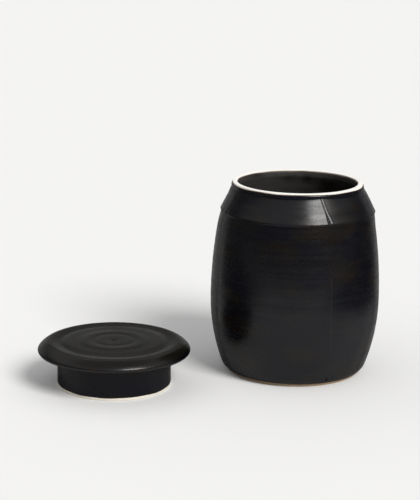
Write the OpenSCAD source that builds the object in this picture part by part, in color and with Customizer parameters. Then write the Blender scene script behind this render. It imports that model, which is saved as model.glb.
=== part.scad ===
// Sugar bowl and its lid: white porcelain under a coat of black glaze. Sizes in millimetres.
// The bowl stands on its foot ring at the origin, and the lid rests beside it on the same table.
// Every piece is a body of revolution, so every outline is a list of [radius, height] points.

/* [Bowl] */
// Widest diameter, over the glaze
bowl_d = 90.5; // [86:0.5:96]
// Height of the rim above the table
bowl_h = 102.5; // [100:0.5:108]
// Height at which the belly is widest
belly_h = 40; // [30:1:46]
// Clear diameter of the throat
mouth_d = 63; // [60:0.5:64]
// Height of the straight throat
throat_h = 3; // [2:0.5:4]
// Diameter of the ledge between belly and shoulder, over the glaze
ledge_d = 82.2; // [78:0.2:83]
// Height of the ledge
ledge_h = 87.4; // [84:0.2:89]
// Outer diameter just under the lip, over the glaze
neck_d = 69.4; // [69:0.2:71]
// Height of the steep neck that ends the shoulder
neck_h = 3.2; // [2:0.2:4]
// Wall thickness of the belly, over both coats of glaze
wall_t = 3.3; // [2.8:0.1:4]
// Height of the inside floor above the table
floor_h = 5; // [4.5:0.5:7]
// Outer diameter of the foot ring
foot_d = 70.4; // [66:0.2:71]

/* [Lid] */
// Diameter of the brim
lid_d = 79.6; // [78:0.2:86]
// Height of the lid with its collar
lid_h = 23.4; // [21:0.2:24.2]
// Height of the collar, up to the underside of the brim
collar_h = 17.6; // [16.6:0.2:19]
// Outer diameter of the collar, over the glaze
collar_d = 59.4; // [57:0.2:59.6]
// Wall thickness of the collar, over both coats of glaze
collar_t = 3.6; // [3:0.1:5]

/* [Glaze] */
// Thickness of each coat
glaze_t = 0.35; // [0.2:0.05:0.4]
// Height of the bare edge of the collar
collar_bare = 1.2; // [1:0.1:3]

/* [Layout] */
// Place of the lid's axis along X
lid_x = -94.8; // [-140:0.1:-90]
// Place of the lid's axis along Y
lid_y = -33.8; // [-60:0.1:60]

/* [Hidden] */
$fn = 180;

porcelain = "#efe8da";
black_glaze = "#1d1d1f";

bowl_r = bowl_d / 2;
mouth_r = mouth_d / 2;
ledge_r = ledge_d / 2;
neck_r = neck_d / 2;
foot_r = foot_d / 2;
lid_r = lid_d / 2;
collar_r = collar_d / 2;
hollow_r = collar_r - collar_t;

// the heel: where the belly turns in towards the foot ring
heel_in = 6.35;
heel_h = 4.7;
heel_round = 6;
heel_end = 68;
foot_ring_w = 4.2;
foot_round = 0.4;
recess_h = 1.4;

// the ledge: a round nose that overhangs the belly
nose_round = 0.8;
nose_under = 60;

// the lip: bare above lip_bare, with both edges rounded
neck_flare = 0.4;
lip_bare = 0.5;
lip_round = 0.4;
corner_round = 9;

// the lid's joint between collar and disc, and the foot of the collar
joint_round = 1.2;
joint_end = 105;
edge_bare_round = 0.5;

// the brim: a tight round at its edge, up to brow, then a wide one to the crown
edge_round = 1.4;
brow = 35;

// the top of the lid: a turned groove and a dimple at the middle
ring_r = 28.7;
ring_w = 1.4;
ring_deep = 0.35;
dimple_r = 2.6;
dimple_flat = 0.6;
dimple_deep = 0.6;

// ---- outlines ----

// n + 1 points on an arc or ellipse about [x, z], from angle a0 to angle a1
function arc(x, z, rx, rz, a0, a1, n) = [
    for (i = [0:n]) let (a = a0 + (a1 - a0) * i / n) [x + rx * cos(a), z + rz * sin(a)]
];

// radius of the arc that starts upright and comes in by dr over a height of dz
function bow(dr, dz) = (dr * dr + dz * dz) / (2 * dr);

function unit(v) = v / norm(v);
function left_of(v) = [-v[1], v[0]];
function backwards(p) = [for (i = [len(p) - 1:-1:0]) p[i]];
function upto(p, last) = [for (i = [0:last]) p[i]];
function onward(p, first) = [for (i = [first:len(p) - 1]) p[i]];

// the outline p moved by d to the left of its own direction
function moved(p, d) = [
    for (i = [0:len(p) - 1])
        let (
            before = unit(p[max(i, 1)] - p[max(i, 1) - 1]),
            after = unit(p[min(i + 1, len(p) - 1)] - p[min(i, len(p) - 2)]),
            both = left_of(before) + left_of(after)
        )
        p[i] + both * d / (1 + before * after)
];

// where the belly ends, under the nose of the ledge
nose_x = ledge_r - nose_round;
under_r = nose_x + nose_round * cos(nose_under);
under_z = ledge_h - nose_round * sin(nose_under);

// belly: a long flat bow above the widest height, a tighter one below it
upper_bow = bow(bowl_r - under_r, under_z - belly_h);
lower_bow = bow(heel_in, belly_h - heel_h);
upper_x = bowl_r - upper_bow;
lower_x = bowl_r - lower_bow;
upper_end = asin((under_z - belly_h) / upper_bow);
heel_start = asin((belly_h - heel_h) / lower_bow);
heel_x = lower_x + (lower_bow - heel_round) * cos(heel_start);
heel_z = belly_h - (lower_bow - heel_round) * sin(heel_start);

// from the ledge's nose the shoulder runs straight up to the foot of the neck
shoulder_lean = atan((nose_x + nose_round - neck_r - neck_flare) / (bowl_h - neck_h - ledge_h));

// outside of the bowl, upwards from the edge of the glaze at the foot
bowl_outside = concat(
    arc(heel_x, heel_z, heel_round, heel_round, -heel_end, -heel_start, 8),
    onward(arc(lower_x, belly_h, lower_bow, lower_bow, -heel_start, 0, 12), 1),
    onward(arc(upper_x, belly_h, upper_bow, upper_bow, 0, upper_end, 10), 1),
    onward(arc(nose_x, ledge_h, nose_round, nose_round, -nose_under, shoulder_lean, 6), 1),
    [[neck_r + neck_flare, bowl_h - neck_h], [neck_r, bowl_h - lip_bare]]
);

// inside of the bowl, downwards from the edge of the glaze at the lip
inner_upper = upper_bow - wall_t;
inner_lower = lower_bow - wall_t;
corner_start = asin((belly_h - floor_h - corner_round) / (inner_lower - corner_round));
corner_x = lower_x + (inner_lower - corner_round) * cos(corner_start);
throat_end = bowl_h - lip_bare - throat_h;
bowl_inside = concat(
    [[mouth_r, bowl_h - lip_bare], [mouth_r, throat_end]],
    arc(upper_x, belly_h, inner_upper, inner_upper, upper_end, 0, 10),
    onward(arc(lower_x, belly_h, inner_lower, inner_lower, 0, -corner_start, 10), 1),
    onward(arc(corner_x, floor_h + corner_round, corner_round, corner_round,
        -corner_start, -90, 8), 1),
    [[0, floor_h]]
);

// top of the lid at radius r, between the middle and the crown of the brim
function dip(t) = abs(t) < 1 ? (1 + cos(180 * t)) / 2 : 0;
function top_z(r) = lid_h - ring_deep * dip((r - ring_r) / ring_w)
    - dimple_deep * dip(max(0, r - dimple_flat) / (dimple_r - dimple_flat));

// outside of the lid: up the collar, out under the brim, over its edge and in to the middle
joint_z = collar_h - joint_round * sin(joint_end);
brim_z = collar_h + edge_round;
crown_round = (lid_h - brim_z - edge_round * sin(brow)) / (1 - sin(brow));
crown_x = lid_r - edge_round - (crown_round - edge_round) * cos(brow);
lid_outside = concat(
    [[collar_r, collar_bare]],
    arc(collar_r + joint_round, joint_z, joint_round, joint_round, 180, joint_end, 5),
    arc(lid_r - edge_round, brim_z, edge_round, edge_round, -90, brow, 8),
    onward(arc(crown_x, lid_h - crown_round, crown_round, crown_round, brow, 90, 12), 1),
    [for (i = [3:-1:-3]) [ring_r + ring_w * i / 3, top_z(ring_r + ring_w * i / 3)]],
    [for (i = [5:-1:0]) let (r = dimple_flat + (dimple_r - dimple_flat) * i / 5) [r, top_z(r)]],
    [[0, top_z(0)]]
);

// inside of the lid: out along the ceiling and down the collar
lid_inside = concat(
    [[0, collar_h]],
    arc(hollow_r - joint_round, joint_z, joint_round, joint_round, 180 - joint_end, 0, 5),
    [[hollow_r, collar_bare]]
);

// clay under the glaze; the first outside_split points of the lid's outside belong to the collar
lid_outside_clay = moved(lid_outside, glaze_t);
lid_inside_clay = moved(lid_inside, glaze_t);
outside_split = 7;
ceiling_z = collar_h + glaze_t;

// ---- pieces ----

// a coat of glaze: the outline p, and the clay surface under it
module coat(p) {
    rotate_extrude()
        polygon(concat(p, backwards(moved(p, glaze_t))));
}

// porcelain bowl, bare at the foot ring, in the recess inside it and round the lip
module bowl_body() {
    foot_in = foot_r - foot_ring_w;
    outer_lip = neck_r - glaze_t - lip_round;
    inner_lip = mouth_r + glaze_t + lip_round;
    color(porcelain)
        rotate_extrude()
            polygon(concat(
                [[0, recess_h], [foot_in - recess_h, recess_h], [foot_in, 0]],
                arc(foot_r - foot_round, foot_round, foot_round, foot_round, -90, 0, 4),
                moved(bowl_outside, glaze_t),
                arc(outer_lip, bowl_h - lip_round, lip_round, lip_round, 0, 90, 6),
                arc(inner_lip, bowl_h - lip_round, lip_round, lip_round, 90, 180, 6),
                moved(bowl_inside, glaze_t)
            ));
}

module bowl_outer_glaze() {
    color(black_glaze) coat(bowl_outside);
}

module bowl_inner_glaze() {
    color(black_glaze) coat(bowl_inside);
}

// porcelain disc of the lid, turned on its top face
module lid_disc() {
    color(porcelain)
        translate([lid_x, lid_y, 0])
            rotate_extrude()
                polygon(concat([[0, ceiling_z]], onward(lid_outside_clay, outside_split)));
}

// porcelain ring luted under the disc, flared into it on both sides
module lid_collar() {
    edge_in = hollow_r + glaze_t + edge_bare_round;
    edge_out = collar_r - glaze_t - edge_bare_round;
    color(porcelain)
        translate([lid_x, lid_y, 0])
            rotate_extrude()
                polygon(concat(
                    arc(edge_out, edge_bare_round, edge_bare_round, edge_bare_round, -90, 0, 4),
                    upto(lid_outside_clay, outside_split - 1),
                    onward(lid_inside_clay, 1),
                    arc(edge_in, edge_bare_round, edge_bare_round, edge_bare_round, 180, 270, 4)
                ));
}

module lid_outer_glaze() {
    color(black_glaze) translate([lid_x, lid_y, 0]) coat(lid_outside);
}

module lid_inner_glaze() {
    color(black_glaze) translate([lid_x, lid_y, 0]) coat(lid_inside);
}

bowl_body();
bowl_outer_glaze();
bowl_inner_glaze();
lid_disc();
lid_collar();
lid_outer_glaze();
lid_inner_glaze();
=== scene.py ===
"""Looks of the sugar bowl: porcelain under a coat of satin black glaze, bare at the lips and feet.

Every piece is turned again from the outline of its CAD node, with the marks of its making: seams
of the mould, turning rings, a slight unevenness, and coats of glaze that thin out at their edges.
Outlines are in millimetres as [radius, height], angles round the axis start at the front, and
Blender's objects are in metres.
"""
import math

import bpy
import numpy as np
from mathutils import Matrix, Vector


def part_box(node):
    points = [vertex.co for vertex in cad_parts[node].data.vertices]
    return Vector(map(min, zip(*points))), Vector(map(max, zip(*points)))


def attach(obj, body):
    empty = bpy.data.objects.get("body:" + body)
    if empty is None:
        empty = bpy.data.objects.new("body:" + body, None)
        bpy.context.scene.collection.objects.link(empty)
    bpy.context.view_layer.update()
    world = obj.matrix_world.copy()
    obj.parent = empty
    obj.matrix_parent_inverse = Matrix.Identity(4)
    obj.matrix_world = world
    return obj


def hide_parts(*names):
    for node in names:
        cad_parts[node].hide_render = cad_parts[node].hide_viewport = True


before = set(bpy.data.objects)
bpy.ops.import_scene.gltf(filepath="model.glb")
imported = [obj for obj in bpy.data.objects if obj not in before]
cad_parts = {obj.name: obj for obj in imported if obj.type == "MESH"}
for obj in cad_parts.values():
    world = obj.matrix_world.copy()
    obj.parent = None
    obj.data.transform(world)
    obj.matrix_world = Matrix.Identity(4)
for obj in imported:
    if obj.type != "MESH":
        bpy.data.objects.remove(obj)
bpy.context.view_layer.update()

MM = 0.001


def centre_of(node):
    low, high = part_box(node)
    return (low.x + high.x) / 2, (low.y + high.y) / 2


BOWL_AXIS = centre_of("bowl_outer_glaze")
LID_AXIS = centre_of("lid_outer_glaze")
BOWL_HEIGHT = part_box("bowl_body")[1].z / MM
GLAZE = 0.35  # thickness of a coat
SEAMS = [math.radians(a) for a in (22, 112, 202, 292)]  # seams of the mould
NICK = math.radians(24.8)  # a nick in the glaze at the foot of the first seam
LEDGE, NECK = 87.2, 99.4  # heights at which the shoulder starts and ends


# ---- outlines ----

def rings_of(node, axis):
    """The rings of the node's mesh as [radius, height] points, and the pairs that edges join."""
    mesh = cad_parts[node].data
    co = np.empty(len(mesh.vertices) * 3)
    mesh.vertices.foreach_get("co", co)
    co = co.reshape(-1, 3)
    points = np.c_[np.hypot(co[:, 0] - axis[0], co[:, 1] - axis[1]), co[:, 2]] / MM
    cell = 0.02
    cells, which = np.unique(np.round(points / cell).astype(int), axis=0, return_inverse=True)
    which = which.reshape(-1)
    # a ring that straddles two cells is one ring
    same = np.arange(len(cells))
    for i in range(len(cells)):
        near = np.abs(cells[i + 1:] - cells[i]).max(axis=1) <= 1
        same[i + 1:][near] = same[i]
    keep, ring = np.unique(same, return_inverse=True)
    which = ring.reshape(-1)[which]
    places = np.array([points[which == k].mean(axis=0) for k in range(len(keep))])
    pairs = np.empty(len(mesh.edges) * 2, int)
    mesh.edges.foreach_get("vertices", pairs)
    pairs = np.sort(which[pairs.reshape(-1, 2)], axis=1)
    return places, {tuple(p) for p in pairs if p[0] != p[1]}


def outline_of(node, axis):
    """The node's outline in order. One that meets the axis starts and ends there."""
    places, pairs = rings_of(node, axis)
    beside = {k: [] for k in range(len(places))}
    for a, b in pairs:
        beside[a].append(b)
        beside[b].append(a)
    ends = [k for k in beside if len(beside[k]) == 1]
    walk = [min(ends, key=lambda k: places[k][1]) if ends else 0]
    while True:
        onward = [k for k in beside[walk[-1]] if k not in walk]
        if not onward:
            break
        walk.append(onward[0])
    line = places[walk]
    if ends:
        line = np.vstack([[0, line[0][1]], line, [0, line[-1][1]]])
    return line


def ring_outline_of(node, axis):
    """The outline of a ring, anticlockwise from its lowest point and back to it."""
    line = outline_of(node, axis)
    line = np.roll(line, -int(np.argmin(line[:, 1])), axis=0)
    line = np.vstack([line, line[0]])
    area = np.sum(line[:-1, 0] * line[1:, 1] - line[1:, 0] * line[:-1, 1])
    return line[::-1] if area < 0 else line


def turns(line):
    """How sharply a closed outline turns at each of its points, in radians."""
    before = line - np.roll(line, 1, axis=0)
    after = np.roll(line, -1, axis=0) - line
    cross = before[:, 0] * after[:, 1] - before[:, 1] * after[:, 0]
    return np.abs(np.arctan2(cross, (before * after).sum(axis=1)))


def coat_faces(node, axis):
    """The two long faces in the outline of a coat of glaze, which short steps join at its edges."""
    line = outline_of(node, axis)
    sharp = turns(line) > math.radians(60)
    length = np.linalg.norm(np.roll(line, -1, axis=0) - line, axis=1)
    steps = [k for k in range(len(line))
             if sharp[k] and sharp[(k + 1) % len(line)] and length[k] < 1.5 * GLAZE
             and line[k][0] > 1]
    if len(steps) == 1:  # a coat that meets the axis is cut there
        whole = np.roll(line, -steps[0] - 1, axis=0)
        cut = int(np.argmin(whole[:, 0]))
        return [whole[:cut + 1], whole[cut + 1:]]
    faces = []
    for step, stop in zip(steps, steps[1:] + steps[:1]):
        count = (stop - step - 1) % len(line) + 1
        faces.append(np.roll(line, -step - 1, axis=0)[:count])
    return faces


def seen_face(node, axis, inside):
    """The face of a coat that is seen, upwards, or from its edge to the axis if it meets it."""
    first, second = coat_faces(node, axis)
    inner = min((first, second), key=lambda h: h[:, 0].max())
    outer = second if inner is first else first
    face = inner if inside else outer
    meets_axis = min(face[0][0], face[-1][0]) < 1
    backwards = face[0][0] < face[-1][0] if meets_axis else face[0][1] > face[-1][1]
    return face[::-1] if backwards else face


def passes(line, levels):
    """Distances along an outline at which it passes each level: (least radius, most, height)."""
    length = np.r_[0, np.cumsum(np.linalg.norm(np.diff(line, axis=0), axis=1))]
    found = []
    for least, most, z in levels:
        for k in range(len(line) - 1):
            a, b = line[k][1], line[k + 1][1]
            if (a - z) * (b - z) <= 0 and a != b and least <= line[k][0] <= most:
                found.append(length[k] + (z - a) / (b - a) * (length[k + 1] - length[k]))
                break
    return found


class Path:
    """A smooth outline: each corner is eased by as much as its short sides and its turn allow."""

    def __init__(self, line, step=0.05, ease=0.15):
        length = np.r_[0, np.cumsum(np.linalg.norm(np.diff(line, axis=0), axis=1))]
        before, after = np.diff(line, axis=0)[:-1], np.diff(line, axis=0)[1:]
        cross = before[:, 0] * after[:, 1] - before[:, 1] * after[:, 0]
        turn = np.abs(np.arctan2(cross, (before * after).sum(axis=1)))
        sides = np.diff(length)
        soft = np.minimum(np.minimum(sides[:-1], sides[1:]) / 2, ease / np.maximum(turn, 1e-3))
        soft = np.r_[soft[0], soft, soft[-1]].clip(0.08, 3)
        # the line goes straight on past both ends, so that easing leaves its ends in place
        margin = 8
        fine = np.arange(-margin, length[-1] + margin, step)
        raw = np.c_[[np.interp(fine, length, line[:, k]) for k in (0, 1)]].T
        for beyond, end, beside in ((fine < 0, 0, 1), (fine > length[-1], -1, -2)):
            away = (line[end] - line[beside]) / np.linalg.norm(line[end] - line[beside])
            raw[beyond] = line[end] + np.outer(np.abs(fine[beyond] - length[end]), away)
        self.length = length[-1]
        self.s = np.arange(0, length[-1] + step / 2, step)
        width = np.interp(self.s, length, soft)
        weight = np.exp(-((self.s[:, None] - fine[None]) / width[:, None]) ** 2 / 2)
        self.p = (weight @ raw) / weight.sum(axis=1, keepdims=True)
        heading = np.gradient(self.p, axis=0)
        heading /= np.linalg.norm(heading, axis=1, keepdims=True)
        self.n = np.c_[heading[:, 1], -heading[:, 0]]
        self.bend = np.linalg.norm(np.gradient(heading, self.s, axis=0), axis=1)

    def stations(self, coarse, fine=0.09, edges=()):
        """Distances along the outline, closer together in bends and near the edges of glaze."""
        gap = (0.07 / np.maximum(self.bend, 1e-4)).clip(fine, coarse)
        for edge in edges:
            gap = np.minimum(gap, fine + 0.25 * np.abs(self.s - edge))
        count = np.r_[0, np.cumsum(1 / gap[:-1] * np.diff(self.s))]
        return np.interp(np.linspace(0, count[-1], int(count[-1]) + 2), count, self.s)

    def at(self, s):
        """The outline's points at distances along it, and its normals there."""
        s = np.asarray(s).clip(0, self.s[-1])
        place = np.stack([np.interp(s, self.s, self.p[:, k]) for k in (0, 1)], axis=-1)
        away = np.stack([np.interp(s, self.s, self.n[:, k]) for k in (0, 1)], axis=-1)
        return place, away / np.linalg.norm(away, axis=-1, keepdims=True)


# ---- unevenness ----

def bell(x, width):
    return np.exp(-(x / width) ** 2)


def smooth(x, low, high):
    """A smooth step from 0 at low to 1 at high."""
    t = ((x - low) / (high - low)).clip(0, 1)
    return t * t * (3 - 2 * t)


def between(x, low, full, still, high):
    """A smooth rise from 0 at low to 1 at full, and a smooth fall from still to high."""
    return smooth(x, low, full) * (1 - smooth(x, still, high))


def around(angle, orders, seed):
    """A wave round the axis, about 1 high, made of a few whole orders."""
    rng = np.random.default_rng(seed)
    total = 0
    for k in orders:
        total = total + rng.normal() * np.cos(k * angle + rng.uniform(0, math.tau))
    return total / math.sqrt(len(orders))


def along(x, shortest, longest, count, seed):
    """A wave along a length, about 1 high, of wavelengths between two limits."""
    rng = np.random.default_rng(seed)
    total = 0
    for _ in range(count):
        wave = math.tau / rng.uniform(shortest, longest)
        total = total + rng.normal() * np.cos(wave * x + rng.uniform(0, math.tau))
    return total / math.sqrt(count)


def bowl_shift(angle, height):
    """How far the bowl's wall stands out from the true round, in mm."""
    tall = (height / BOWL_HEIGHT).clip(0, 1)
    swell = 0.06 * np.cos(2 * angle + 0.6)
    drift = 0.05 * np.cos(angle + 2.4 * tall + 1.1)
    slow = 0.02 * around(angle, (3, 4, 5), 3)
    # the shoulder has slumped a little to the right
    slump = 0.45 * np.sin(angle) * between(height, 78, 88, 94, 101)
    return (swell + drift + slow - 0.14) * np.sin(math.pi * tall) + slump


def lid_shift(angle, height):
    """How far the lid stands out from the true round, in mm, the same at every height."""
    return 0.05 * np.cos(2 * angle + 1.0) + 0.02 * around(angle, (3, 5), 9) - 0.1


def inner_fade(radius):
    """1 well away from the axis and 0 on it, where nothing can shift sideways."""
    return (radius / 20).clip(0, 1)


# ---- meshes ----

NO_FANS = np.empty((0, 3), int)


def round_angles(marks=()):
    """Angles round the axis, close together at the marks."""
    angles = list(np.linspace(0, math.tau, 288, endpoint=False))
    for mark in marks:
        angles += list(mark + np.radians(np.linspace(-1.8, 1.8, 19)))
    angles = np.sort(np.mod(angles, math.tau))
    return angles[np.r_[True, np.diff(angles) > math.radians(0.12)]]


def across_from(angle, mark, radius=1):
    """How far round an angle is from a mark: in radians, or in mm on a given radius."""
    return (np.mod(angle - mark + math.pi, math.tau) - math.pi) * radius


def grid_faces(rows, columns, offset=0, flip=False):
    """Quads of a grid of rows that run all the way round."""
    j, k = np.meshgrid(np.arange(rows - 1), np.arange(columns), indexing="ij")
    a = offset + j * columns + k
    b = offset + j * columns + (k + 1) % columns
    quads = np.stack([a, b, b + columns, a + columns], axis=-1).reshape(-1, 4)
    return quads[:, ::-1] if flip else quads


def band_faces(first, second, flip=False):
    """Quads between two rings of points."""
    quads = np.stack([first, np.roll(first, -1), np.roll(second, -1), second], axis=-1)
    return quads[:, ::-1] if flip else quads


def fan_faces(ring, tip, flip=False):
    """Triangles between a ring of points and a point on the axis."""
    fan = np.stack([ring, np.roll(ring, -1), np.full(len(ring), tip)], axis=-1)
    return fan[:, ::-1] if flip else fan


def shell_faces(rows, lows, columns, to_axis, flip):
    """Faces of a closed shell: a grid, a second one hidden under it, and then their two tips."""
    ring = np.arange(columns)
    base = rows * columns
    end, low_end = base - columns + ring, base + (lows - 1) * columns + ring
    quads = [grid_faces(rows, columns, 0, flip), grid_faces(lows, columns, base, not flip),
             band_faces(ring, base + ring, not flip)]
    if not to_axis:
        quads.append(band_faces(end, low_end, flip))
        return np.vstack(quads), NO_FANS
    tip = base + lows * columns
    fans = np.vstack([fan_faces(end, tip, flip), fan_faces(low_end, tip + 1, not flip)])
    return np.vstack(quads), fans


def pushed(place, away, push, side, angles):
    """Points in mm of an outline pushed along its normal and then sideways, at angles round."""
    radius = place[..., 0] + away[..., 0] * push + side
    height = place[..., 1] + away[..., 1] * push
    return np.stack([radius * np.sin(angles), -radius * np.cos(angles), height], axis=-1)


def make_mesh(name, points, quads, fans, axis, layer, values, sharp=None):
    """A mesh object from points in mm round the axis, with a value at each in a named layer."""
    mesh = bpy.data.meshes.new(name)
    place = points * MM + [axis[0], axis[1], 0]
    mesh.from_pydata(place.tolist(), [], quads.tolist() + fans.tolist())
    stored = mesh.attributes.new(layer, "FLOAT", "POINT")
    stored.data.foreach_set("value", np.asarray(values, np.float32))
    mesh.polygons.foreach_set("use_smooth", [True] * len(mesh.polygons))
    if sharp is not None:
        ends = np.empty(len(mesh.edges) * 2, int)
        mesh.edges.foreach_get("vertices", ends)
        both = sharp[ends.reshape(-1, 2)].all(axis=1)
        crease = mesh.attributes.new("sharp_edge", "BOOLEAN", "EDGE")
        crease.data.foreach_set("value", both.tolist())
    mesh.validate()
    thing = bpy.data.objects.new(name, mesh)
    bpy.context.scene.collection.objects.link(thing)
    return thing


def clay_piece(name, line, axis, shift, edges=(), marks=None):
    """A closed body of clay turned from a whole outline, from the axis or round to its start.

    edges are the distances along it of the edges of glaze. The layer from_glaze holds how far
    each point is from the nearest.
    """
    far = 9
    path = Path(line, ease=0.12)
    s = path.stations(coarse=1.4, fine=0.12, edges=edges)
    angles = round_angles()[None, :]
    columns = angles.size
    place, away = (values[:, None] for values in path.at(s))
    push = marks(angles, place) if marks else 0 * angles
    side = shift(angles, place[..., 1]) * inner_fade(place[..., 0])
    points = pushed(place, away, push, side, angles)
    near = np.min([np.abs(s - e) for e in edges], axis=0) if edges else np.full(len(s), far)
    is_ring = line[0][0] > 0
    kept = slice(0, -1) if is_ring else slice(1, -1)
    flat = points[kept].reshape(-1, 3)
    near = np.repeat(near[kept], columns)
    rows = len(points[kept])
    first = np.arange(columns)
    last = first + (rows - 1) * columns
    quads = grid_faces(rows, columns)
    if is_ring:
        quads, fans = np.vstack([quads, band_faces(last, first)]), NO_FANS
    else:
        fans = np.vstack([fan_faces(first, len(flat), True), fan_faces(last, len(flat) + 1)])
        flat = np.vstack([flat, [0, 0, place[0, 0, 1]], [0, 0, place[-1, 0, 1]]])
        near = np.r_[near, far, far]
    return make_mesh(name, flat, quads, fans, axis, "from_glaze", near)


def edge_wander(angle, seed):
    """How far the edge of a wiped coat draws back, in mm."""
    broad = 0.09 * around(angle, (2, 3, 5, 8), seed)
    fine = 0.05 * around(angle, (13, 21), seed + 1)
    return (0.22 + broad + fine).clip(0.02, 0.6)


def coat_reach(path, s, angles, seed, to_axis):
    """Where along the outline each point of a coat lies, and how far it is from the coat's edge."""
    start = edge_wander(angles, seed)
    where = s[:, None] + start * bell(s[:, None], 4)
    if to_axis:
        return where, (where - start).clip(0)
    stop = edge_wander(angles, seed + 7)
    where = where - stop * bell(path.length - s[:, None], 4)
    return where, np.minimum(where - start, path.length - stop - where).clip(0)


def coat_piece(name, line, axis, shift, marks, seed, to_axis=False, inward=False, seams=(),
               coarse=0.6, columns=None, cover=None):
    """A closed coat of glaze: its seen face, thin at the edges, and a hidden face in the clay.

    The layer from_edge holds how far each point is from the edge of the coat, or what cover
    makes of that. columns leans the mesh's columns. inward is for an outline whose normals
    would otherwise point into the coat.
    """
    path = Path(line)
    if inward:
        path.n = -path.n
    s = path.stations(coarse, edges=[0] if to_axis else [0, path.length])
    a = np.repeat(round_angles(seams)[None, :], len(s), axis=0)
    if columns:
        a = columns(a, path.at(s)[0][:, 1:2])
    where, depth = coat_reach(path, s, a, seed, to_axis)
    place, away = path.at(where)
    rise = np.sqrt(1 - (1 - (depth / 0.8).clip(0, 1)) ** 2)
    bead = 0.06 * bell(depth - 1.1, 0.6)
    push = (marks(a, place) + bead) * rise - GLAZE * (1 - rise)
    side = shift(a, place[..., 1]) * inner_fade(place[..., 0])
    seen = pushed(place, away, push, side, a)
    # the hidden face lies a little way into the clay, on fewer stations
    pick = np.unique(np.r_[0:6, np.arange(6, len(s) - 6, 3), len(s) - 6:len(s)])
    sink = np.full((len(pick), 1), -(GLAZE + 0.04))
    sink[0] = -GLAZE
    if not to_axis:
        sink[-1] = -GLAZE
    under = pushed(place[pick], away[pick], sink, side[pick], a[pick])
    top = seen[:-1] if to_axis else seen
    low = under[1:-1]
    points = np.vstack([top.reshape(-1, 3), low.reshape(-1, 3)])
    if to_axis:
        points = np.vstack([points] + [[0, 0, face[-1, :, 2].mean()] for face in (seen, under)])
    turn = a.shape[1]
    count = len(top) * turn
    quads, fans = shell_faces(len(top), len(low), turn, to_axis, inward)
    values = np.zeros(len(points))
    values[:count] = (cover(a, place, depth) if cover else depth)[:len(top)].reshape(-1)
    sharp = np.zeros(len(points), bool)
    sharp[:turn] = True
    if not to_axis:
        sharp[count - turn:count] = True
    return make_mesh(name, points, quads, fans, axis, "from_edge", values, sharp)


# ---- marks of making, in mm along the normal ----

def seam_lean(height):
    """How far round the front and back seams have leant at a height on the shoulder."""
    return math.radians(-5) * ((height - LEDGE) / 13).clip(0, 1)


def nick_lean(height):
    """How far round the front seam has strayed on the belly, on its way down to the nick."""
    return (NICK - SEAMS[0]) * (1 - smooth(height, 4, 40))


def seam_columns(angles, height):
    """Angles of the mesh's columns at each height, so that they follow the leaning seams."""
    total = angles
    for seam in SEAMS[::2]:
        total = total + seam_lean(height) * bell(across_from(angles, seam), 0.25)
    return total


def seam_marks(angle, radius, height):
    """Seams of the mould: a groove between two shoulder panels, and a pair of ridges below."""
    on_shoulder = between(height, LEDGE - 0.2, LEDGE + 0.8, NECK - 0.4, NECK + 0.9)
    on_belly = 1 - smooth(height, LEDGE - 0.6, LEDGE)
    low = 1 - smooth(height, LEDGE, LEDGE + 7)
    total = 0
    for k, seam in enumerate(SEAMS):
        lean = seam_lean(height) if k % 2 == 0 else 0
        if k == 0:
            lean = lean + nick_lean(height) * on_belly
        across = across_from(angle - lean, seam, radius)
        panel = 0.22 * np.exp(-np.sqrt(across ** 2 + 0.04) / 3.2)
        groove = -(0.20 + 0.32 * low) * np.exp(-np.abs(across) / (0.22 + 0.36 * low))
        bank = (0.03 + 0.10 * low) * bell(across - 1.0 - 0.7 * low, 0.45)
        pair = 0.11 * (bell(across - 0.65, 0.25) + bell(across + 0.65, 0.25))
        pair = pair * (0.35 + 0.65 * bell(height - 36, 17))
        total = total + (panel + groove + bank) * on_shoulder + pair * on_belly
    return total


def foot_nick(angle, radius, height):
    """A short ragged nick in the glaze: two narrow grooves side by side, with steep walls."""
    across = across_from(angle, NICK, radius)
    groove = (1 - np.abs(np.abs(across) - 0.26) / 0.26).clip(0)
    return -0.35 * groove * between(height, 2.2, 2.9, 4.6, 6.0)


def seam_cover(angle, place, depth):
    """How far from an edge the glaze looks, in mm: near one along the belly's front seam.

    It is below 0 in the nick, which is painted black without gloss: painted shade in its groove.
    """
    radius, height = place[..., 0], place[..., 1]
    across = across_from(angle - nick_lean(height), SEAMS[0], radius)
    worn = bell(across, 0.55) * between(height, 14, 24, 58, 72)
    broken = 0.75 + 0.25 * along(height, 3, 9, 6, 25)
    cover = np.where(worn < 0.02, depth, np.minimum(depth, 0.50 - 0.29 * worn * broken))
    # painted shade: the nick's groove is marked here to be painted black
    shaded_pit = 1 - smooth(np.abs(across), 0.35, 0.65)
    shaded_pit = shaded_pit * between(height, 2.4, 3.0, 4.8, 5.8)
    return cover * (1 - shaded_pit) - shaded_pit


def belly_rings(angle, height):
    """Fine level rings where the mould was turned and the wet glaze was wiped round."""
    level = height + 0.5 * around(angle, (1, 2, 3), 21)
    fine = 0.008 * along(level, 1.2, 3.0, 14, 22)
    wide = 0.015 * along(level, 5, 14, 8, 23)
    patch = 0.5 + 0.5 * around(angle, (1, 2, 3, 4), 24)
    return fine * (0.6 + 0.4 * patch) + wide * (0.7 + 0.3 * patch)


def bowl_outside_marks(angle, place):
    """Seams, nick and rings, and a sharp, slightly wavy lower edge to the ledge."""
    radius, height = place[..., 0], place[..., 1]
    marks = seam_marks(angle, radius, height) + foot_nick(angle, radius, height)
    marks = marks - 0.25 * bell(height - 87.05, 0.24)
    marks = marks + 0.02 * around(angle, (7, 11, 13), 31) * bell(height - 87, 3)
    return marks + belly_rings(angle, height)


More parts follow.
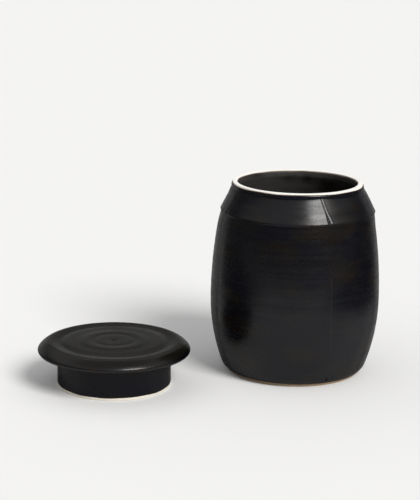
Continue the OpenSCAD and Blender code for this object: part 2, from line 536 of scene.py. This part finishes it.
def bowl_inside_marks(angle, place):
    """Broad rings left by the fingers, climbing one turn at a time."""
    pitch = 5.0
    height = place[..., 1]
    level = height + pitch * np.mod(angle, math.tau) / math.tau
    broad = 0.05 * np.cos(math.tau * level / pitch) * (1 + 0.4 * along(height, 15, 40, 4, 41))
    broad = broad * ((95 - height) / 8).clip(0, 1) * ((height - 12) / 8).clip(0, 1)
    return broad + 0.012 * along(height, 1.5, 4, 10, 42)


def lid_outside_marks(angle, place):
    """Turning rings on top of the disc, level lines on the collar."""
    radius, height = place[..., 0], place[..., 1]
    on_top = ((height - 20.8) / 1.0).clip(0, 1) * ((39.4 - radius) / 3).clip(0, 1)
    r = radius + 0.35 * around(angle, (1, 2, 3), 51)
    valley = 0.26 * bell(r - 28.7, 0.75) - 0.24 * bell(r - 28.2, 3.0) - 0.06 * bell(r - 10, 1.6)
    swell = 0.18 * bell(r - 35, 2.2) + 0.10 * bell(r - 14.5, 2.2)
    dome = 0.3 * (1 - (r / 28) ** 2).clip(0)
    fine = 0.007 * along(r, 1.4, 3.2, 12, 52) + 0.026 * along(r, 4, 9, 6, 53)
    on_collar = bell(height - 9, 6) * (radius < 31)
    lines = 0.012 * along(height, 1.2, 4, 8, 54)
    return on_top * (valley + swell + dome + fine) + on_collar * lines


def lid_inside_marks(angle, place):
    """Faint rings on the ceiling and down the collar."""
    return 0.02 * along(place[..., 0] + place[..., 1], 2, 5, 8, 61)


def lip_marks(angle, place):
    """The bare lip, wiped and slightly uneven."""
    wave = 0.02 * around(angle, (5, 9, 14, 23), 71)
    return wave * bell(place[..., 1] - BOWL_HEIGHT, 1.5) - 0.03


# ---- materials ----

BLUE_BLACK = (0.0010, 0.0012, 0.0034)
BROWN_BLACK = (0.0052, 0.0033, 0.0018)
# painted light: a warmer near black for the lid's top, standing in for the key light that falls on
# it
KEY_LIT_WARM_BLACK = (0.0038, 0.0034, 0.0022)
# painted light: the inside glaze is the same black, lightened here to stand in for light filling
# the inside
FILL_LIT_GREY_BLACK = (0.0480, 0.0460, 0.0430)
# painted shade: the black of the nick's groove
PAINTED_SHADE_BLACK = (0.0003, 0.0003, 0.0003)
# colours of the glaze, from its edge to where it covers well
BREAKING = [(0.0, (0.10, 0.045, 0.02)), (0.25, (0.035, 0.015, 0.008)),
            (0.6, (0.012, 0.007, 0.005)), (1.0, BROWN_BLACK)]
# specular level of the glaze, from square on to a glancing angle
SHEEN = [(0.0, 0.5), (0.3, 0.46), (0.5, 0.18), (0.67, 0.038), (0.8, 0.021), (0.9, 0.006),
         (1.0, 0.002)]
NO_SHEEN = (0.0, 0.0, 0.0)
CREAM = (0.84, 0.82, 0.77)
PALE_CREAM = (0.90, 0.885, 0.845)
FAWN = (0.66, 0.61, 0.53)
TAN = (0.48, 0.34, 0.21)
FOOT_BROWN = (0.32, 0.21, 0.11)
CARD_GREY = (0.05, 0.05, 0.053)


class Nodes:
    """A node tree, with short ways to add what the materials and the light are made of."""

    def __init__(self, tree):
        self.tree = tree
        self.coords = self.add("ShaderNodeTexCoord").outputs

    def add(self, kind, **values):
        """A node with its properties and inputs set by name."""
        node = self.tree.nodes.new(kind)
        for key, value in values.items():
            if hasattr(node, key):
                setattr(node, key, value)
            else:
                node.inputs[key.replace("_", " ")].default_value = value
        return node

    def link(self, source, socket):
        self.tree.links.new(source, socket)

    def parts(self, vector):
        """The X, Y and Z of a vector."""
        node = self.add("ShaderNodeSeparateXYZ")
        self.link(vector, node.inputs["Vector"])
        return node.outputs

    def noise(self, scale, stretch=(1, 1, 1), detail=4, rough=0.55):
        mapping = self.add("ShaderNodeMapping", Scale=stretch)
        self.link(self.coords["Object"], mapping.inputs["Vector"])
        noise = self.add("ShaderNodeTexNoise", Scale=scale, Detail=detail, Roughness=rough)
        self.link(mapping.outputs["Vector"], noise.inputs["Vector"])
        return noise.outputs["Fac"]

    def span(self, value, low, high, to_low=0.0, to_high=1.0, kind="SMOOTHSTEP"):
        """to_low up to the value low, to_high from the value high on, and a step between."""
        node = self.add("ShaderNodeMapRange", interpolation_type=kind, From_Min=low,
                        From_Max=high, To_Min=to_low, To_Max=to_high)
        self.link(value, node.inputs["Value"])
        return node.outputs["Result"]

    def mix(self, factor, a, b):
        """The colour a where the factor is 0, and b where it is 1."""
        node = self.add("ShaderNodeMix", data_type="RGBA")
        self.link(factor, node.inputs["Factor"])
        for socket, value in ((node.inputs[6], a), (node.inputs[7], b)):
            if isinstance(value, tuple):
                socket.default_value = (*value, 1)
            else:
                self.link(value, socket)
        return node.outputs[2]

    def ramp(self, value, stops):
        node = self.add("ShaderNodeValToRGB")
        while len(node.color_ramp.elements) < len(stops):
            node.color_ramp.elements.new(0.5)
        for element, (at, colour) in zip(node.color_ramp.elements, stops):
            element.position = at
            element.color = (*colour, 1)
        self.link(value, node.inputs["Fac"])
        return node.outputs["Color"]

    def maths(self, operation, a, b):
        node = self.add("ShaderNodeMath", operation=operation)
        self.link(a, node.inputs[0])
        self.link(b, node.inputs[1])
        return node.outputs[0]

    def bump(self, height, strength, distance, normal=None):
        node = self.add("ShaderNodeBump", Strength=strength, Distance=distance)
        self.link(height, node.inputs["Height"])
        if normal:
            self.link(normal, node.inputs["Normal"])
        return node.outputs["Normal"]


def new_material(name):
    """A material, its nodes and the inputs of its shader."""
    material = bpy.data.materials.new(name)
    material.use_nodes = True
    tree = material.node_tree
    return material, Nodes(tree), tree.nodes["Principled BSDF"].inputs


def black_glaze(name, cold, warmth, shine, top=None):
    """Satin black glaze, brown where it thins out at an edge, with faint level streaks.

    cold is one of its two near blacks, and warmth is the share of the other, the brown one. Above
    the height top, in metres, the cold one turns warm, which is painted light: the key light on the
    lit top, against colder shaded sides. Some way below it the gloss is duller.
    Fine crystals in the glaze take the mirror out of it at a glancing angle.
    """
    material, nodes, shader = new_material(name)
    edge = nodes.add("ShaderNodeAttribute", attribute_name="from_edge").outputs["Fac"]
    height = nodes.parts(nodes.coords["Object"])["Z"] if top else None
    if top:
        # painted light: above the height top the cold black turns warm, as if lit by the key light,
        # and below it stays cold, as if shaded
        cold = nodes.mix(nodes.span(height, top - MM, top + MM), cold, KEY_LIT_WARM_BLACK)
    cloud = nodes.noise(45, stretch=(1, 1, 1.8))
    reach = 0.72 - 0.44 * warmth
    body = nodes.mix(nodes.span(cloud, reach - 0.14, reach + 0.14), cold, BROWN_BLACK)
    breaking = nodes.ramp(nodes.span(edge, 0.0, 0.5, kind="LINEAR"), BREAKING)
    thin = nodes.span(edge, 0.1, 0.5, 1.0, 0.0)
    # painted shade: below 0, in the nick, the glaze is painted black and loses its gloss
    shaded_pit = nodes.span(edge, -1.0, -0.2, 1.0, 0.0)
    colour = nodes.mix(shaded_pit, nodes.mix(thin, body, breaking), PAINTED_SHADE_BLACK)
    nodes.link(colour, shader["Base Color"])

    streak = nodes.noise(30, stretch=(1, 1, 14), detail=5, rough=0.6)
    speck = nodes.noise(900, detail=3, rough=0.6)
    rough = nodes.maths("ADD", nodes.span(streak, 0.3, 0.75, shine - 0.05, shine + 0.06),
                        nodes.span(speck, 0.35, 0.7, -0.02, 0.04))
    nodes.link(rough, shader["Roughness"])

    facing = nodes.add("ShaderNodeLayerWeight", Blend=0.5).outputs["Facing"]
    level = nodes.ramp(facing, [(at, (value,) * 3) for at, value in SHEEN])
    if top:
        dull = nodes.span(height, top - 4 * MM, top - 3 * MM, 0.45, 0.0)
        level = nodes.mix(dull, level, NO_SHEEN)
    nodes.link(nodes.mix(shaded_pit, level, NO_SHEEN), shader["Specular IOR Level"])
    shader["IOR"].default_value = 1.37

    peel = nodes.noise(420, detail=3, rough=0.5)
    normal = nodes.bump(peel, 0.25, 0.00005)
    nodes.link(nodes.bump(speck, 0.2, 0.00002, normal), shader["Normal"])
    return material


def bare_porcelain(name, foot=(0.70, 0.65, 0.56)):
    """Unglazed porcelain: creamy white, fine grained, browner beside the glaze and at the foot."""
    material, nodes, shader = new_material(name)
    near = nodes.add("ShaderNodeAttribute", attribute_name="from_glaze").outputs["Fac"]
    height = nodes.parts(nodes.coords["Object"])["Z"]
    cloud = nodes.noise(60)
    grain = nodes.noise(1400, detail=3, rough=0.6)
    cream = nodes.mix(nodes.span(cloud, 0.3, 0.7), CREAM, PALE_CREAM)
    cream = nodes.mix(nodes.span(grain, 0.62, 0.78, 0.0, 0.35), cream, FAWN)
    flash = nodes.mix(nodes.span(near, 0.0, 0.3, 0.5, 0.0), cream, TAN)
    low = nodes.span(height, 1 * MM, 6 * MM, 0.95, 0.0)
    nodes.link(nodes.mix(low, flash, foot), shader["Base Color"])
    nodes.link(nodes.span(cloud, 0.3, 0.7, 0.52, 0.68), shader["Roughness"])
    nodes.link(nodes.bump(grain, 0.35, 0.00003), shader["Normal"])
    return material


def pale_floor(name):
    material, nodes, shader = new_material(name)
    cloud = nodes.noise(3, detail=2)
    nodes.link(nodes.mix(cloud, (0.80, 0.80, 0.797), (0.82, 0.82, 0.817)), shader["Base Color"])
    shader["Roughness"].default_value = 0.9
    shader["Specular IOR Level"].default_value = 0.1
    return material


def card_material(name, near, far):
    """Dark grey beyond far, and as light as the floor at near, both distances to the front."""
    material, nodes, shader = new_material(name)
    fade = nodes.span(nodes.parts(nodes.coords["Object"])["Y"], -far, -near)
    nodes.link(nodes.mix(fade, CARD_GREY, (0.8, 0.8, 0.8)), shader["Base Color"])
    shader["Roughness"].default_value = 0.9
    return material


# ---- the object ----

def dress(piece, body, node, material):
    piece.data.materials.append(material)
    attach(piece, body)
    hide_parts(node)


def build_bowl_porcelain():
    line = outline_of("bowl_body", BOWL_AXIS)
    low, high = (corner.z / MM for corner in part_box("bowl_outer_glaze"))
    edges = passes(line, [(33, 99, low + 0.3), (33, 99, high), (0, 33, high)])
    piece = clay_piece("bowl_porcelain", line, BOWL_AXIS, bowl_shift, edges, lip_marks)
    material = bare_porcelain("bare_porcelain_bowl", FOOT_BROWN)
    dress(piece, "bowl", "bowl_body", material)


def build_bowl_glaze_outside():
    line = seen_face("bowl_outer_glaze", BOWL_AXIS, inside=False)
    piece = coat_piece("bowl_glaze_outside", line, BOWL_AXIS, bowl_shift, bowl_outside_marks, 101,
                       seams=SEAMS + [NICK], coarse=0.75, columns=seam_columns, cover=seam_cover)
    material = black_glaze("black_glaze_outside", BLUE_BLACK, warmth=0.35, shine=0.27)
    dress(piece, "bowl", "bowl_outer_glaze", material)


def build_bowl_glaze_inside():
    line = seen_face("bowl_inner_glaze", BOWL_AXIS, inside=True)
    piece = coat_piece("bowl_glaze_inside", line, BOWL_AXIS, bowl_shift, bowl_inside_marks, 111,
                       to_axis=True)
    # painted light: the inside black is lightened, standing in for fill light
    material = black_glaze("black_glaze_inside", FILL_LIT_GREY_BLACK, warmth=0.3, shine=0.42)
    dress(piece, "bowl", "bowl_inner_glaze", material)


def build_lid_disc():
    line = outline_of("lid_disc", LID_AXIS)
    piece = clay_piece("lid_disc_porcelain", line, LID_AXIS, lid_shift)
    dress(piece, "lid", "lid_disc", bare_porcelain("bare_porcelain_disc"))


def build_lid_collar():
    line = ring_outline_of("lid_collar", LID_AXIS)
    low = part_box("lid_outer_glaze")[0].z / MM
    edges = passes(line, [(28, 99, low), (0, 28, low)])
    piece = clay_piece("lid_collar_porcelain", line, LID_AXIS, lid_shift, edges)
    dress(piece, "lid", "lid_collar", bare_porcelain("bare_porcelain_collar"))


def build_lid_glaze_outside():
    line = seen_face("lid_outer_glaze", LID_AXIS, inside=False)
    piece = coat_piece("lid_glaze_outside", line, LID_AXIS, lid_shift, lid_outside_marks, 121,
                       to_axis=True, coarse=0.45)
    # above top the lid's glaze is painted warm, as lit by the key light
    material = black_glaze("black_glaze_lid", BLUE_BLACK, warmth=0.3, shine=0.28, top=20.5 * MM)
    dress(piece, "lid", "lid_outer_glaze", material)


def build_lid_glaze_inside():
    line = seen_face("lid_inner_glaze", LID_AXIS, inside=True)
    piece = coat_piece("lid_glaze_inside", line, LID_AXIS, lid_shift, lid_inside_marks, 131,
                       to_axis=True, inward=True)
    # painted light: the inside black is lightened, standing in for fill light
    material = black_glaze("black_glaze_lid_inside", FILL_LIT_GREY_BLACK, warmth=0.3, shine=0.42)
    dress(piece, "lid", "lid_inner_glaze", material)


# ---- the studio ----

def flat_sheet(name, corners, material):
    """A flat polygon that isn't part of the object."""
    mesh = bpy.data.meshes.new(name)
    mesh.from_pydata(corners, [], [list(range(len(corners)))])
    mesh.materials.append(material)
    sheet = bpy.data.objects.new(name, mesh)
    bpy.context.scene.collection.objects.link(sheet)
    return sheet


def build_floor():
    radius, sides = 8, 96
    turn = np.linspace(0, math.tau, sides, endpoint=False)
    rim = [(radius * math.cos(a), radius * math.sin(a), 0) for a in turn]
    flat_sheet("floor", rim, pale_floor("pale_floor"))


def dark_card(name, corners, material):
    """A dark card on the floor beyond the picture. Only the gloss of the glaze sees it."""
    card = flat_sheet(name, [(x, y, MM) for x, y in corners], material)
    card.visible_camera = card.visible_diffuse = card.visible_shadow = False


def build_cards():
    """The darker room round the table: in front of it, and to its left and right."""
    wide, front, left, right = 4, -0.26, -0.19, 0.16
    fading = card_material("card_front", near=0.27, far=0.60)
    plain = card_material("card_side", near=-9, far=-8)
    dark_card("card_front", [(-wide, -wide), (wide, -wide), (wide, front), (-wide, front)], fading)
    dark_card("card_left", [(-wide, front), (left, front), (left, 0.06), (-wide, 2.9)], plain)
    dark_card("card_right", [(right, front), (wide, front), (wide, 4.0), (right, 0.11)], plain)


def soft_light(name, azimuth, elevation, spread, strength, colour):
    """A large soft light far away. Azimuth 0 is the camera's side, and it grows to the right."""
    az, el = math.radians(azimuth), math.radians(elevation)
    data = bpy.data.lights.new(name, "SUN")
    data.angle = math.radians(spread)
    data.energy = strength
    data.color = colour
    lamp = bpy.data.objects.new(name, data)
    bpy.context.scene.collection.objects.link(lamp)
    back = np.array([math.sin(az) * math.cos(el), -math.cos(az) * math.cos(el), math.sin(el)])
    right = np.cross([0, 0, 1], back)
    right /= np.linalg.norm(right)
    rows = np.array([right, np.cross(back, right), back]).T
    lamp.matrix_world = Matrix(rows.tolist()).to_4x4()


def build_light():
    """A soft key light from the right, under a pale ceiling and before a pale wall at the back."""
    soft_light("key", azimuth=36, elevation=39, spread=27, strength=2.86, colour=(1, 0.99, 0.975))
    world = bpy.data.worlds.new("studio")
    bpy.context.scene.world = world
    world.use_nodes = True
    world.node_tree.nodes.clear()
    nodes = Nodes(world.node_tree)
    toward = nodes.parts(nodes.coords["Generated"])
    above = nodes.span(toward["Z"], 0.3, 0.62, 0.14, 0.82)
    overhead = nodes.span(toward["Z"], 0.72, 0.95, 1.0, 0.45)
    behind = nodes.span(toward["Y"], 0.56, 0.72)
    wall = nodes.span(toward["Z"], 0.12, 0.42, 0.95, 0.2)
    ceiling = nodes.maths("MULTIPLY", above, overhead)
    back = nodes.maths("MULTIPLY", behind, wall)
    light = nodes.add("ShaderNodeBackground")
    nodes.link(nodes.maths("MAXIMUM", ceiling, back), light.inputs["Color"])
    # the camera itself sees a plain pale background
    plain = nodes.add("ShaderNodeBackground", Color=(0.87, 0.87, 0.868, 1))
    seen = nodes.add("ShaderNodeLightPath").outputs["Is Camera Ray"]
    both = nodes.add("ShaderNodeMixShader")
    nodes.link(seen, both.inputs["Fac"])
    nodes.link(light.outputs["Background"], both.inputs[1])
    nodes.link(plain.outputs["Background"], both.inputs[2])
    nodes.link(both.outputs["Shader"], nodes.add("ShaderNodeOutputWorld").inputs["Surface"])


def build_camera():
    """The photograph's view: from in front and above, a little left, with a long lens."""
    pitch, roll = math.radians(13.58), math.radians(0.85)
    place = (-45.75 * MM, -881.8 * MM, 277.3 * MM)
    forward = np.array([0, math.cos(pitch), -math.sin(pitch)])
    level = np.array([1.0, 0, 0])
    rise = np.cross(level, forward)
    right = level * math.cos(roll) + rise * math.sin(roll)
    up = -level * math.sin(roll) + rise * math.cos(roll)
    data = bpy.data.cameras.new("camera")
    data.sensor_width = 36
    data.lens = 122.4
    camera = bpy.data.objects.new("camera", data)
    bpy.context.scene.collection.objects.link(camera)
    matrix = Matrix(np.array([right, up, -forward]).T.tolist()).to_4x4()
    matrix.translation = place
    camera.matrix_world = matrix
    bpy.context.scene.camera = camera
    bpy.context.scene.view_settings.view_transform = "Standard"


build_camera()
build_bowl_porcelain()
build_bowl_glaze_outside()
build_bowl_glaze_inside()
build_lid_disc()
build_lid_collar()
build_lid_glaze_outside()
build_lid_glaze_inside()
build_floor()
build_cards()
build_light()
